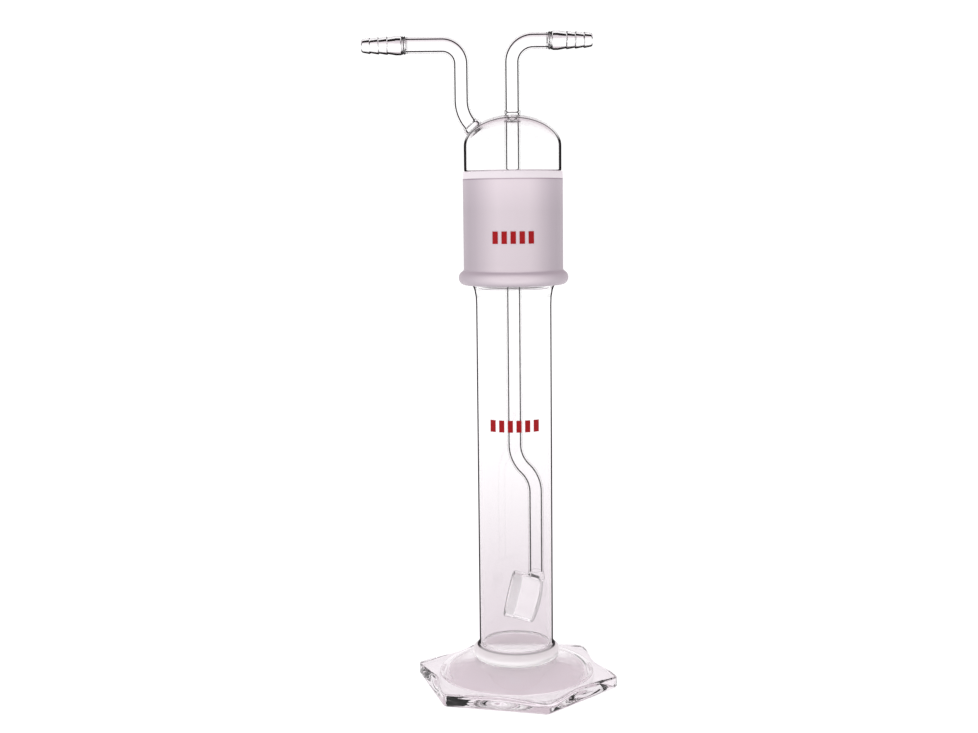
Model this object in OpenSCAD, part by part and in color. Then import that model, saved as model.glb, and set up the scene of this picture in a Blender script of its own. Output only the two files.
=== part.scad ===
// Tall-form gas washing bottle. The head turns on the ground joint and lifts out
// with its fritted dip tube. Millimetres, +Z up, origin under the middle of the foot.

/* [Ground joint] */
// Diameter of the ground taper at its large, lower end
joint_big_d = 45; // [40:0.5:50]
// Length of the ground taper
joint_len = 50; // [45:1:55]
// Height of the taper's large end above the bench
joint_z = 208.6; // [180:0.2:240]
// Outer diameter of the sleeve
sleeve_od = 50; // [50:0.5:54]
// Radial gap between the cone and the sleeve
seat_gap = 0.1; // [0.05:0.05:0.2]
// Outer diameter of the rounded rim at the sleeve's mouth
rim_od = 55.2; // [54:0.2:58]
// Height of the rounded rim
rim_h = 7; // [5:0.5:8]

/* [Bottle] */
// Outer diameter of the cylinder
tube_od = 38; // [36:0.5:39]
// Wall thickness of the cylinder
tube_wall = 1.8; // [1.4:0.1:2.2]
// Height of the cylinder's inner floor
floor_z = 20.5; // [18:0.5:24]
// Thickness of the floor
floor_t = 2; // [1.5:0.5:3]

/* [Foot] */
// Corner to corner size of the hexagonal foot
foot_across = 106; // [96:1:112]
// Thickness of the foot at its corners
foot_t = 6; // [5:0.5:8]
// Turn of the foot about the bottle's axis
foot_turn = -13; // [-30:1:30]
// Radius of the raised dome where it meets the flat of the foot
foot_dome_r = 39.6; // [34:0.2:41]
// Height of the dome's shoulder above the bench
foot_dome_z = 13; // [11:0.5:14]
// Radius of the hollow under the foot
foot_hollow_r = 34.6; // [28:0.2:36]
// Depth of the hollow in its middle
foot_hollow_h = 4; // [2:0.5:5]
// Outer radius of the fused collar round the cylinder's base
collar_r = 22.5; // [21:0.5:24]

/* [Head] */
// Outer diameter of the dome above the sleeve
dome_od = 48.6; // [47:0.2:49.6]
// Wall thickness of the dome
dome_wall = 2; // [1.6:0.2:2.4]
// Height where the sleeve ends and the dome begins
dome_z = 262.6; // [262:0.2:264]
// Height where the dome's straight wall ends
dome_spring_z = 275; // [270:0.5:278]
// Rise of the dome above its straight wall
dome_rise = 15.5; // [12:0.5:18]

/* [Tubing] */
// Outer diameter of the arms and the dip tube
arm_od = 8; // [7:0.5:9]
// Bore of the arms and the dip tube
arm_id = 5.6; // [4.5:0.1:6]
// Height of the inlet arm's level stretch
inlet_z = 326.4; // [315:0.2:335]
// Centreline radius of the inlet arm's bend
inlet_bend = 10.4; // [8:0.2:12]
// Height of the outlet arm's level stretch
outlet_z = 324.7; // [315:0.2:335]
// Distance of the outlet arm's upright stretch from the axis
outlet_x = 25.3; // [24:0.1:28]
// Centreline radius of the outlet arm's upper bend
outlet_bend = 9.3; // [8:0.1:12]
// Distance from the axis to the inlet barb's inner end
inlet_barb_x = 20; // [18:0.5:24]
// Distance from the axis to the outlet barb's inner end
outlet_barb_x = 54.5; // [50:0.5:60]

/* [Hose barbs] */
// Length of a hose barb
barb_len = 19.8; // [18:0.2:24]
// Outer diameter of a barb at its base
barb_base_d = 9.4; // [8.5:0.1:10]
// Outer diameter of a barb at its tip
barb_tip_d = 7.4; // [6.5:0.1:8]
// Number of serrations
barb_teeth = 4; // [3:1:5]

/* [Dip tube and frit] */
// Height where the dip tube starts to jog sideways
jog_top_z = 124.5; // [110:0.5:140]
// Height where the jog ends
jog_bottom_z = 99.5; // [85:0.5:101]
// Sideways step of the jog
jog_x = 10.5; // [10:0.1:10.8]
// Diameter of the frit chamber
frit_od = 24; // [20:0.2:24.4]
// Wall thickness of the frit chamber
frit_wall = 1.4; // [1:0.1:1.8]
// Length of the frit chamber's straight wall
frit_len = 15.6; // [14:0.2:16]
// Tilt of the chamber's axis, frit side up
frit_tilt = 14; // [10:1:16]
// Height of the chamber's middle
frit_z = 44.8; // [42:0.2:48]
// Distance of the chamber's middle from the bottle's axis
frit_x = 3.8; // [3:0.1:4.2]
// Thickness of the porous disc
disc_t = 4.4; // [3:0.2:5]

/* [Enamel marks] */
// Height of a mark's bars
mark_h = 6; // [4:0.5:8]
// Height of the joint mark's middle
joint_mark_z = 230.2; // [225:0.2:245]
// Height of the capacity mark's middle
capacity_mark_z = 136.6; // [120:0.2:160]
// Thickness of the fired enamel
enamel_t = 0.2; // [0.15:0.05:0.3]

/* [Hidden] */
$fn = 96;
eps = 0.01;

clear_glass = [0.86, 0.88, 0.90, 0.35];
ground_glass = [0.86, 0.82, 0.85, 0.9];
frit_grey = [0.80, 0.78, 0.79];
enamel_red = [0.72, 0.10, 0.14];

// radii
tube_r = tube_od / 2;
tube_ir = tube_r - tube_wall;
sleeve_r = sleeve_od / 2;
dome_r = dome_od / 2;
arm_r = arm_od / 2;
bore_r = arm_id / 2;
frit_r = frit_od / 2;
foot_r = foot_across / 2;

// the ground joint narrows by one millimetre of diameter in ten of length
taper = 1 / 20;
cone_big_r = joint_big_d / 2;
cone_small_r = cone_big_r - joint_len * taper;
cone_top_z = joint_z + joint_len;
cone_wall = 2.2;
flare_z = joint_z - 10;
rim_z = joint_z - 2.4;

// the ring seal stands in the dome's crown and a little proud of it
seal_r = 4.3;
seal_z = dome_spring_z + dome_rise - dome_wall - 0.4;
seal_top_z = seal_z + 4.4;

// the outlet arm leaves the dome's shoulder square to it, and bends upright at once
outlet_angle = 48.2;
outlet_ring_h = 1.8;
outlet_root_x = 20.1;
outlet_upright_z = 297.6;
low_turn = 90 - outlet_angle;
outlet_start_x = outlet_root_x + outlet_ring_h / 2 * cos(outlet_angle);
outlet_low_bend = (outlet_x - outlet_start_x) / (1 - cos(low_turn));
outlet_start_z = outlet_upright_z - outlet_low_bend * sin(low_turn);
outlet_root_z = outlet_start_z - outlet_ring_h / 2 * sin(outlet_angle);

// fused rings between arm and barb
weld_len = 2;
weld_r = 4.5;
barb_bore_r = 2;

// the dip tube's jog is two equal bends
jog_drop = jog_top_z - jog_bottom_z;
jog_angle = 2 * atan(jog_x / jog_drop);
jog_bend = jog_drop / (2 * sin(jog_angle));
frit_weld_z = 58.6;
frit_corner = 1.4;
frit_end_rise = 1.1;
disc_inset = 0.6;

// ---- shared shapes ----

// A straight tube that starts at the origin and runs up
module pipe(len, r = arm_r, ir = bore_r) {
    difference() {
        cylinder(h = len, r = r);
        translate([0, 0, -eps])
            cylinder(h = len + 2 * eps, r = ir);
    }
}

// A bent tube that starts at the origin running up and turns towards +X
module pipe_bend(bend, turn) {
    translate([bend, 0, 0])
        rotate([90, 0, 180])
            rotate_extrude(angle = turn)
                translate([bend, 0])
                    difference() {
                        circle(r = arm_r);
                        circle(r = bore_r);
                    }
}

// One serrated barb from its base at the origin towards its tip at +Z
module hose_barb() {
    land = 2.6;
    pitch = (barb_len - land) / barb_teeth;
    step = 0.45;
    function tooth_r(i) = (barb_base_d - (barb_base_d - barb_tip_d) * i / barb_teeth) / 2;
    profile = [
        [barb_bore_r, 0],
        [barb_base_d / 2, 0],
        [barb_base_d / 2, land],
        for (i = [0 : barb_teeth - 1]) each [
            [tooth_r(i), land + i * pitch],
            [tooth_r(i + 1) - step, land + (i + 1) * pitch - eps * 10]
        ],
        [tooth_r(barb_teeth) - step, barb_len],
        [barb_bore_r, barb_len]
    ];
    rotate_extrude()
        polygon(profile);
}

// A fused glass ring from the origin up, thicker than the tube it joins
module weld_ring() {
    bead_r = 0.49;
    waist_r = arm_r + 0.05;
    difference() {
        union() {
            cylinder(h = weld_len, r = waist_r);
            for (z = [0.5, weld_len - 0.5])
                translate([0, 0, z])
                    rotate_extrude()
                        translate([weld_r - 0.4, 0])
                            circle(r = bead_r);
        }
        translate([0, 0, -1])
            cylinder(h = weld_len + 2, r = barb_bore_r);
    }
}

// Upright bars of enamel on a cylinder of radius r, facing -Y
module bars(r, z, count, bar_w, gap) {
    pitch = bar_w + gap;
    for (i = [0 : count - 1])
        intersection() {
            translate([0, 0, z - mark_h / 2])
                difference() {
                    cylinder(h = mark_h, r = r + enamel_t);
                    translate([0, 0, -1])
                        cylinder(h = mark_h + 2, r = r);
                }
            translate([(i - (count - 1) / 2) * pitch - bar_w / 2, -r - 2, z - mark_h / 2 - 1])
                cube([bar_w, r, mark_h + 2]);
        }
}

// Outline of the dome of radius r and rise h above its straight wall
function dome_outline(r, h) = [for (a = [0 : 6 : 90]) [r * cos(a), dome_spring_z + h * sin(a)]];

module dome_solid(r, h, bottom) {
    rotate_extrude()
        polygon([[0, bottom], [r, bottom], each dome_outline(r, h)]);
}

// ---- bottle ----

// Hexagon with rounded corners
module foot_outline(corner_r = 3.5) {
    inner_r = foot_r - corner_r / cos(30);
    polygon([
        for (i = [0 : 5], a = [-30 : 10 : 30])
            let (c = i * 60)
                [inner_r * cos(c) + corner_r * cos(c + a), inner_r * sin(c) + corner_r * sin(c + a)]
    ]);
}

module hex_foot() {
    flat_r = foot_r * cos(30);
    // the scoop is 3 mm deep at the plate's top face and runs out above its lower edge
    scoop = 3;
    scoop_half = 0.42 * foot_r;
    scoop_r = (scoop_half * scoop_half + scoop * scoop) / (2 * scoop);
    scoop_lean = scoop + 0.8;
    shoulder_r = 20.6;
    color(clear_glass)
        difference() {
            union() {
                rotate([0, 0, foot_turn])
                    difference() {
                        linear_extrude(foot_t)
                            foot_outline();
                        // each side is scooped so that its upper edge bows inwards
                        for (i = [0 : 5])
                            rotate([0, 0, 30 + 60 * i])
                                translate([flat_r + scoop_r - scoop, 0, 0])
                                    cylinder(h = 2 * foot_t, r1 = scoop_r - scoop_lean, r2 = scoop_r + scoop_lean);
                    }
                // the raised round dome and the boss that carries the cylinder
                rotate_extrude()
                    polygon([
                        [0, 0],
                        [foot_dome_r, 0],
                        for (a = [0 : 9 : 90])
                            [shoulder_r + (foot_dome_r - shoulder_r) * cos(a),
                             foot_t + (foot_dome_z - foot_t) * sin(a)],
                        [tube_r, foot_dome_z],
                        [tube_r, floor_z - floor_t],
                        [0, floor_z - floor_t]
                    ]);
            }
            // the hollow underside
            rotate_extrude()
                polygon([
                    [0, -1],
                    [foot_hollow_r, -1],
                    for (a = [0 : 10 : 90])
                        [foot_hollow_r * cos(a), foot_hollow_h * sin(a)]
                ]);
        }
}

module foot_collar() {
    bulge = collar_r - tube_r;
    middle_z = foot_dome_z + bulge;
    color(clear_glass)
        rotate_extrude()
            intersection() {
                translate([tube_r, middle_z])
                    circle(r = bulge);
                translate([tube_r, foot_dome_z])
                    square([bulge + 1, 2 * bulge]);
            }
}

module bottle_tube() {
    corner = 3;
    color(clear_glass)
        rotate_extrude()
            difference() {
                translate([0, floor_z - floor_t])
                    square([tube_r, flare_z - floor_z + floor_t]);
                translate([0, floor_z + corner])
                    square([tube_ir, flare_z]);
                translate([0, floor_z])
                    square([tube_ir - corner, corner + 1]);
                translate([tube_ir - corner, floor_z + corner])
                    circle(r = corner);
            }
}

module capacity_mark() {
    color(enamel_red)
        bars(r = tube_r, z = capacity_mark_z, count = 6, bar_w = 2.6, gap = 1.7);
}

module ground_cone() {
    color(ground_glass)
        rotate_extrude()
            polygon([
                [tube_ir, flare_z],
                [tube_r, flare_z],
                [tube_r + 0.2, flare_z + 2.5],
                [tube_r + 0.7, flare_z + 5.5],
                [tube_r + 2, flare_z + 8],
                [cone_big_r - 0.3, flare_z + 9.6],
                [cone_big_r, joint_z],
                [cone_small_r, cone_top_z],
                [cone_small_r - cone_wall, cone_top_z],
                [cone_big_r - cone_wall - 0.2, joint_z + 2],
                [cone_big_r - cone_wall - 1, joint_z],
                [tube_ir + 1, flare_z + 7],
                [tube_ir + 0.2, flare_z + 3.5]
            ]);
}

// ---- head ----

module joint_socket() {
    mouth_r = cone_big_r + (joint_z - rim_z) * taper + seat_gap;
    seat_top_r = cone_small_r + seat_gap;
    bulge = rim_od / 2 - sleeve_r;
    rim_r = (bulge * bulge + rim_h * rim_h / 4) / (2 * bulge);
    color(ground_glass)
        rotate_extrude()
            union() {
                polygon([
                    [mouth_r, rim_z],
                    [sleeve_r, rim_z],
                    [sleeve_r, dome_z],
                    [dome_r - dome_wall, dome_z],
                    [seat_top_r, cone_top_z]
                ]);
                intersection() {
                    translate([rim_od / 2 - rim_r, rim_z + rim_h / 2])
                        circle(r = rim_r);
                    translate([sleeve_r - 0.5, rim_z])
                        square([bulge + 1, rim_h]);
                }
            }
}

module joint_mark() {
    color(enamel_red)
        bars(r = sleeve_r, z = joint_mark_z, count = 5, bar_w = 2.6, gap = 1.8);
}

// Stands the outlet's lower end on the dome's shoulder, running up and away
module at_outlet_root() {
    translate([-outlet_root_x, 0, outlet_root_z])
        rotate([0, outlet_angle - 90, 0])
            children();
}

module head_dome() {
    color(clear_glass)
        difference() {
            dome_solid(dome_r, dome_rise, dome_z);
            dome_solid(dome_r - dome_wall, dome_rise - dome_wall, dome_z - 1);
            cylinder(h = 2 * dome_z, r = seal_r);
            at_outlet_root()
                translate([0, 0, -8])
                    cylinder(h = 10, r = bore_r);
        }
}

module ring_seal() {
    color(clear_glass)
        translate([0, 0, seal_z])
            pipe(seal_top_z - seal_z, r = seal_r);
}

module inlet_tube() {
    bend_z = inlet_z - inlet_bend;
    color(clear_glass)
        union() {
            translate([0, 0, seal_top_z])
                pipe(bend_z - seal_top_z);
            translate([0, 0, bend_z])
                pipe_bend(inlet_bend, 90);
            translate([inlet_bend, 0, inlet_z])
                rotate([0, 90, 0])
                    pipe(inlet_barb_x - weld_len - inlet_bend);
        }
}

module inlet_weld() {
    color(clear_glass)
        translate([inlet_barb_x - weld_len, 0, inlet_z])
            rotate([0, 90, 0])
                weld_ring();
}

module inlet_hose_barb() {
    color(clear_glass)
        translate([inlet_barb_x, 0, inlet_z])
            rotate([0, 90, 0])
                hose_barb();
}

module outlet_weld_ring() {
    ring_r = 4.8;
    color(clear_glass)
        difference() {
            at_outlet_root()
                translate([0, 0, -3])
                    cylinder(h = 3 + outlet_ring_h / 2, r = ring_r);
            dome_solid(dome_r, dome_rise, dome_z);
            at_outlet_root()
                translate([0, 0, -8])
                    cylinder(h = 20, r = bore_r);
        }
}

module outlet_tube() {
    bend_z = outlet_z - outlet_bend;
    color(clear_glass)
        union() {
            // the lower bend runs down from the upright stretch, towards the dome
            translate([-outlet_x, 0, outlet_upright_z])
                rotate([180, 0, 0])
                    pipe_bend(outlet_low_bend, low_turn);
            translate([-outlet_x, 0, outlet_upright_z])
                pipe(bend_z - outlet_upright_z);
            translate([-outlet_x, 0, bend_z])
                rotate([0, 0, 180])
                    pipe_bend(outlet_bend, 90);
            translate([-outlet_x - outlet_bend, 0, outlet_z])
                rotate([0, -90, 0])
                    pipe(outlet_barb_x - weld_len - outlet_x - outlet_bend);
        }
}

module outlet_weld() {
    color(clear_glass)
        translate([-outlet_barb_x + weld_len, 0, outlet_z])
            rotate([0, -90, 0])
                weld_ring();
}

module outlet_hose_barb() {
    color(clear_glass)
        translate([-outlet_barb_x, 0, outlet_z])
            rotate([0, -90, 0])
                hose_barb();
}

// The upper length, down the axis and into the first half of the jog
module dip_tube() {
    color(clear_glass)
        union() {
            translate([0, 0, jog_top_z])
                pipe(seal_z - jog_top_z);
            translate([0, 0, jog_top_z])
                rotate([180, 0, 0])
                    pipe_bend(jog_bend, jog_angle);
        }
}

// The lower length, from the middle of the jog down to the frit chamber
module dip_tube_offset() {
    color(clear_glass)
        union() {
            translate([jog_x, 0, frit_weld_z])
                pipe(jog_bottom_z - frit_weld_z);
            translate([jog_x, 0, jog_bottom_z])
                rotate([0, 0, 180])
                    pipe_bend(jog_bend, jog_angle);
        }
}

// Stands the chamber's axis along the tilted line, frit end at the origin
module at_frit() {
    translate([frit_x, 0, frit_z])
        rotate([0, 90 + frit_tilt, 0])
            translate([0, 0, -frit_len / 2])
                children();
}

// Outline of a chamber of radius r and straight length len: rounded corner, shallow domed end
function chamber_outline(r, len, corner) = [
    for (a = [0 : 22.5 : 90])
        [r - corner + corner * cos(a), len - corner + corner * sin(a)],
    for (t = [0.75 : -0.25 : 0])
        [(r - corner) * t, len + frit_end_rise * (1 - t * t)]
];

module chamber_outside() {
    rotate_extrude()
        polygon([[0, 0], [frit_r, 0], each chamber_outline(frit_r, frit_len, frit_corner)]);
}

module chamber_inside() {
    inner_r = frit_r - frit_wall;
    inner_corner = 0.5;
    rotate_extrude()
        polygon([[0, -1], [inner_r, -1], each chamber_outline(inner_r, frit_len - frit_wall, inner_corner)]);
}

module frit_weld() {
    // the fused glass swells a little below the tube and runs out on the chamber
    color(clear_glass)
        difference() {
            translate([jog_x, 0, 0])
                rotate_extrude()
                    polygon([
                        [bore_r, frit_weld_z],
                        [arm_r, frit_weld_z],
                        [arm_r + 0.3, frit_weld_z - 2.2],
                        [arm_r + 0.4, frit_weld_z - 4],
                        [arm_r + 0.1, frit_weld_z - 5.4],
                        [arm_r - 0.6, frit_weld_z - 6.8],
                        [bore_r, frit_weld_z - 7.4]
                    ]);
            at_frit()
                chamber_outside();
        }
}

module frit_chamber() {
    color(clear_glass)
        difference() {
            at_frit()
                chamber_outside();
            at_frit()
                chamber_inside();
            // the hole under the dip tube goes through the side wall only
            translate([jog_x, 0, frit_weld_z - 6.2])
                cylinder(h = 10, r = bore_r);
        }
}

module frit_disc() {
    color(frit_grey)
        at_frit()
            translate([0, 0, disc_inset])
                cylinder(h = disc_t, r = frit_r - frit_wall);
}

hex_foot();
foot_collar();
bottle_tube();
capacity_mark();
ground_cone();
joint_socket();
joint_mark();
head_dome();
ring_seal();
inlet_tube();
inlet_weld();
inlet_hose_barb();
outlet_weld_ring();
outlet_tube();
outlet_weld();
outlet_hose_barb();
dip_tube();
dip_tube_offset();
frit_weld();
frit_chamber();
frit_disc();
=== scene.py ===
"""Looks of the tall-form gas washing bottle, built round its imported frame.

Metres, +Z up, +X towards the inlet barb, -Y towards the front. Sizes are written in
millimetres, and a mesh is scaled once, when it is made.
"""

import logging
import math
from dataclasses import dataclass
from enum import Enum
from typing import Callable, Sequence

import bmesh
import bpy
import numpy as np
from mathutils import Matrix, Vector

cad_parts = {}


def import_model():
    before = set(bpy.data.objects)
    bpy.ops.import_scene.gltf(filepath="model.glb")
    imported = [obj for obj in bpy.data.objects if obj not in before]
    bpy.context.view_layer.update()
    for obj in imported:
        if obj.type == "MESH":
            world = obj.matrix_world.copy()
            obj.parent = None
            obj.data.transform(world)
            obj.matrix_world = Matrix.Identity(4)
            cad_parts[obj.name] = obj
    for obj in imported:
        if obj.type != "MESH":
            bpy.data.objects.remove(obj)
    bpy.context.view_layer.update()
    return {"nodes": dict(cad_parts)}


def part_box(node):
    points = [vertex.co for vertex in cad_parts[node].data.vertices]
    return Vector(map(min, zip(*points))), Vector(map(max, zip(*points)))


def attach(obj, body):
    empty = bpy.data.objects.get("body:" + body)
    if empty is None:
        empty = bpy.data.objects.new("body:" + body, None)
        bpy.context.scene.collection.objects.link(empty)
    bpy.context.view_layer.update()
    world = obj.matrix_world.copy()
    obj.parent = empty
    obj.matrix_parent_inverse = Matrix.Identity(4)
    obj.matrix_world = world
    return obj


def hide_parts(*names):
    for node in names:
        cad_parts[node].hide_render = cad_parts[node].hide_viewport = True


LOG = logging.getLogger("gas_washing_bottle")
MM = 0.001
IMAGE_WIDTH = 978

Point = tuple[float, float]
Stops = tuple[tuple[float, str], ...]
Curve = tuple[tuple[float, float], ...]
Radius = Callable[[np.ndarray], np.ndarray]


class Body(Enum):
    """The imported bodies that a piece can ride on."""

    BOTTLE = "bottle"
    CONE = "joint_cone"
    HEAD = "head"


class Slot(Enum):
    """The record's material slots."""

    CLEAR = "clear_glass"
    PRESSED = "pressed_glass"
    GROUND = "ground_glass"
    SINTERED = "sintered_glass"
    ENAMEL = "red_enamel"


# ---- nodes and finishes ----


def linear(hex_code: str, alpha: float = 1.0) -> tuple[float, float, float, float]:
    """Turns an sRGB hex colour into Blender's linear colour.

    Args:
        hex_code: six hex digits, with or without a leading #.
        alpha: the fourth value.

    Returns:
        Linear red, green, blue and alpha.
    """
    digits = hex_code.lstrip("#")
    srgb = [int(digits[i : i + 2], 16) / 255 for i in (0, 2, 4)]
    red, green, blue = [
        c / 12.92 if c <= 0.04045 else ((c + 0.055) / 1.055) ** 2.4 for c in srgb
    ]
    return red, green, blue, alpha


def add_node(
    tree: bpy.types.NodeTree,
    kind: str,
    settings: dict | None = None,
    values: dict | None = None,
    links: dict | None = None,
) -> bpy.types.Node:
    """Adds one node with its settings, socket values and incoming links.

    Args:
        tree: the node tree that gets the node.
        kind: Blender's name of the node type.
        settings: the node's own properties.
        values: values of input sockets, by socket name or number.
        links: output sockets to join to input sockets, by socket name or number.

    Returns:
        The new node.
    """
    node = tree.nodes.new(kind)
    for name, value in (settings or {}).items():
        setattr(node, name, value)
    for socket, value in (values or {}).items():
        node.inputs[socket].default_value = value
    for socket, source in (links or {}).items():
        tree.links.new(source, node.inputs[socket])
    return node


def fill_ramp(node: bpy.types.Node, stops: Stops | Curve) -> bpy.types.Node:
    """Sets the stops of a colour ramp node.

    Args:
        node: the colour ramp node.
        stops: pairs of position and hex colour, or position and level, in rising order.

    Returns:
        The same node.
    """
    elements = node.color_ramp.elements
    while len(elements) < len(stops):
        elements.new(1.0)
    for element, (position, colour) in zip(elements, stops):
        element.position = position
        level = (colour, colour, colour, 1.0)
        element.color = linear(colour) if isinstance(colour, str) else level
    return node


def blank_material(name: str) -> tuple[bpy.types.Material, bpy.types.NodeTree]:
    """Makes an empty node material.

    Args:
        name: the material's name.

    Returns:
        The material and its node tree.
    """
    material = bpy.data.materials.new(name)
    material.use_nodes = True
    material.node_tree.nodes.clear()
    return material, material.node_tree


def object_position(tree: bpy.types.NodeTree) -> bpy.types.NodeSocket:
    """Adds the object coordinates, in metres, and returns their socket."""
    return add_node(tree, "ShaderNodeTexCoord").outputs["Object"]


def finish_material(tree: bpy.types.NodeTree, shader: bpy.types.Node) -> None:
    """Joins a shader to the material's output."""
    links = {"Surface": shader.outputs[0]}
    add_node(tree, "ShaderNodeOutputMaterial", links=links)


@dataclass(frozen=True)
class ClearGlass:
    """Borosilicate glass, drawn and flame-worked: clear, with dark lines at its edges.

    A real tube shows its dark surroundings at its bore and at its edge; here they are painted
    shade. The lines give how much painted colour covers the glass from facing (0) to grazing
    (1): black for painted shade, and white or lilac where it is a painted light. Where
    side_lines are given, they take over as the normal's height falls from side_from to side_to.
    The wall takes a faint lilac painted shade, darker low down, that fades from low_z up to
    high_z, in millimetres. Where glow is set, the covered part glows as a painted light.
    Pressed glass has a slow ripple, ripple_mm from crest to crest.
    """

    name: str
    lines: Curve
    side_lines: Curve = ()
    side_from: float = 0.15
    side_to: float = -0.15
    # Painted light: the colour laid over the glass, black for painted shade at its edges, white
    # or lilac for painted light.
    painted_light_colour: str = "1C1719"
    glow: float = 0.0
    # Painted shade: a lilac tint that darkens the glass low down.
    cast: str = "FFFFFF"
    low_z: float = 20.0
    high_z: float = 130.0
    roughness: float = 0.0
    ripple_mm: float = 0.0
    ripple_depth: float = 0.0
    ior: float = 1.47

    def build(self) -> bpy.types.Material:
        """Builds the material."""
        material, tree = blank_material(self.name)
        # Painted shade: the glass is covered with the painted colour as it turns from facing to
        # grazing.
        facing = add_node(tree, "ShaderNodeLayerWeight", values={"Blend": 0.5})
        turned = {"Fac": facing.outputs["Facing"]}
        dark = fill_ramp(add_node(tree, "ShaderNodeValToRGB", links=turned), self.lines)
        dark = dark.outputs["Color"]
        if self.side_lines:
            side = add_node(tree, "ShaderNodeValToRGB", links=turned)
            fill_ramp(side, self.side_lines)
            normal = add_node(tree, "ShaderNodeNewGeometry").outputs["Normal"]
            up = add_node(tree, "ShaderNodeSeparateXYZ", links={0: normal})
            down = add_node(
                tree,
                "ShaderNodeMapRange",
                values={1: self.side_from, 2: self.side_to},
                links={0: up.outputs["Z"]},
            )
            both = add_node(
                tree,
                "ShaderNodeMix",
                {"data_type": "RGBA"},
                links={0: down.outputs[0], 6: dark, 7: side.outputs["Color"]},
            )
            dark = both.outputs[2]
        where = object_position(tree)
        height = add_node(tree, "ShaderNodeSeparateXYZ", links={0: where})
        low = add_node(
            tree,
            "ShaderNodeMapRange",
            {"interpolation_type": "SMOOTHSTEP"},
            {1: self.low_z * MM, 2: self.high_z * MM, 3: 1.0, 4: 0.0},
            {0: height.outputs["Z"]},
        )
        # Painted shade: lilac low down, fading to clear higher up.
        clear = add_node(
            tree,
            "ShaderNodeMix",
            {"data_type": "RGBA"},
            {6: linear("FFFFFF"), 7: linear(self.cast)},
            {0: low.outputs[0]},
        )
        tint = add_node(
            tree,
            "ShaderNodeMix",
            {"data_type": "RGBA"},
            {7: linear(self.painted_light_colour)},
            {0: dark, 6: clear.outputs[2]},
        )
        through = add_node(
            tree, "ShaderNodeMath", {"operation": "SUBTRACT"}, {0: 1.0}, {1: dark}
        )
        shader = add_node(
            tree,
            "ShaderNodeBsdfPrincipled",
            values={
                "Roughness": self.roughness,
                "IOR": self.ior,
                "Specular IOR Level": 0.0,
            },
            links={
                "Base Color": tint.outputs[2],
                "Transmission Weight": through.outputs[0],
            },
        )
        # Painted light: the covered part glows in the painted colour.
        if self.glow:
            lit = add_node(
                tree, "ShaderNodeMath", {"operation": "MULTIPLY"}, {0: self.glow}, {1: dark}
            )
            shader.inputs["Emission Color"].default_value = linear(self.painted_light_colour)
            tree.links.new(lit.outputs[0], shader.inputs["Emission Strength"])
        if self.ripple_mm:
            noise = add_node(
                tree,
                "ShaderNodeTexNoise",
                values={"Scale": 1 / (self.ripple_mm * MM), "Detail": 1.0},
                links={"Vector": where},
            )
            bump = add_node(
                tree,
                "ShaderNodeBump",
                values={"Strength": 1.0, "Distance": self.ripple_depth * MM},
                links={"Height": noise.outputs[0]},
            )
            tree.links.new(bump.outputs[0], shader.inputs["Normal"])
        finish_material(tree, shader)
        return material


@dataclass(frozen=True)
class GroundGlass:
    """Borosilicate glass ground with grit: a matte lilac white, darker at its edges.

    Its darker edges are painted shade of its curve, set by the face stops from facing to
    grazing. The height stops, in millimetres, are painted shade from the mouth to the top:
    darkest in the band where two ground faces lie together, with a thin painted dark line where
    the cone's rim stops. The grit is drawn coarser than it is, so that it shows.
    """

    name: str
    # Painted shade: lighter in the middle, darker towards the edges.
    face: Stops
    # Painted shade: darker bands by height.
    height_shade: Stops = ()
    grit_mm: float = 0.6
    grit_depth: float = 0.03
    roughness: float = 0.55

    def build(self) -> bpy.types.Material:
        """Builds the material."""
        material, tree = blank_material(self.name)
        facing = add_node(tree, "ShaderNodeLayerWeight", values={"Blend": 0.5})
        face = add_node(
            tree, "ShaderNodeValToRGB", links={"Fac": facing.outputs["Facing"]}
        )
        fill_ramp(face, self.face)
        where = object_position(tree)
        colour = face.outputs["Color"]
        if self.height_shade:
            height = add_node(tree, "ShaderNodeSeparateXYZ", links={0: where})
            low, high = self.height_shade[0][0], self.height_shade[-1][0]
            scaled = add_node(
                tree,
                "ShaderNodeMapRange",
                values={1: low * MM, 2: high * MM},
                links={0: height.outputs["Z"]},
            )
            ramp = add_node(
                tree, "ShaderNodeValToRGB", links={"Fac": scaled.outputs[0]}
            )
            fill_ramp(
                ramp, tuple(((z - low) / (high - low), c) for z, c in self.height_shade)
            )
            mixed = add_node(
                tree,
                "ShaderNodeMix",
                {"data_type": "RGBA", "blend_type": "MULTIPLY"},
                {0: 1.0},
                {6: colour, 7: ramp.outputs["Color"]},
            )
            colour = mixed.outputs[2]
        grit = add_node(
            tree,
            "ShaderNodeTexNoise",
            values={"Scale": 1 / (self.grit_mm * MM), "Detail": 3.0},
            links={"Vector": where},
        )
        bump = add_node(
            tree,
            "ShaderNodeBump",
            values={"Strength": 0.6, "Distance": self.grit_depth * MM},
            links={"Height": grit.outputs[0]},
        )
        shader = add_node(
            tree,
            "ShaderNodeBsdfPrincipled",
            values={"Roughness": self.roughness, "IOR": 1.47},
            links={"Base Color": colour, "Normal": bump.outputs[0]},
        )
        finish_material(tree, shader)
        return material


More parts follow.
